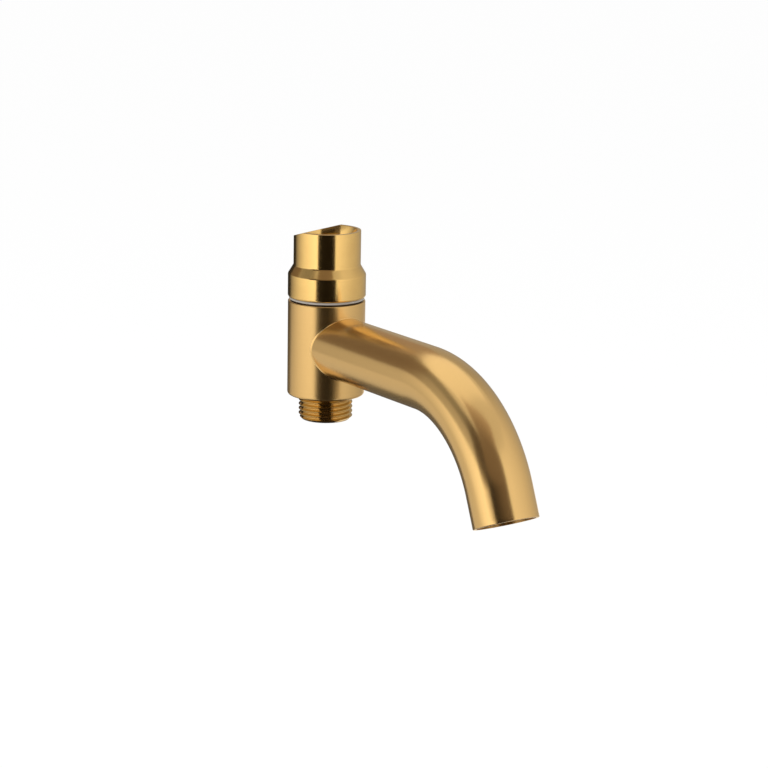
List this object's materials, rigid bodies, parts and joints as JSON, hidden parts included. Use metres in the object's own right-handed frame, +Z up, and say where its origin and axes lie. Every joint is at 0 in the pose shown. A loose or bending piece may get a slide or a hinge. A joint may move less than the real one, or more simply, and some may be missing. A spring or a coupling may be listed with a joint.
{
  "type": "swivel bath spout",
  "caption": "Brass swivel spout for an exposed bath mixer: socket collar with a part-sloped rim, turning body with a bent tube, and a threaded hose outlet below.",
  "frame": {"origin": "on the swivel axis, at the mouth of the collar's inlet socket", "axes": "+Z up the swivel axis and out of the inlet socket, +X the way the tube reaches at rest"},
  "size_m": [0.1484, 0.0302, 0.0919],
  "materials": {
    "polished_brass": "polished",
    "brushed_brass": "brushed satin",
    "slide_plastic": "matt",
    "insert_plastic": "matt",
    "seal_rubber": "matt"
  },
  "bodies": {
    "collar": {"inlet_collar": "polished_brass", "hose_stem": "polished_brass", "upper_slide_ring": "slide_plastic", "lower_slide_ring": "slide_plastic", "collar_o_rings": "seal_rubber", "stem_o_ring": "seal_rubber", "stem_gasket": "seal_rubber"},
    "spout": {"spout_body": "brushed_brass", "spout_tube": "brushed_brass", "aerator_housing": "insert_plastic", "aerator_core": "insert_plastic", "aerator_gasket": "seal_rubber"}
  },
  "joints": [
    {"name": "spout_swivel", "type": "hinge", "parent": "collar", "child": "spout", "pos_m": [0, 0, -0.04], "axis": [0, 0, 1], "continuous": true}
  ]
}
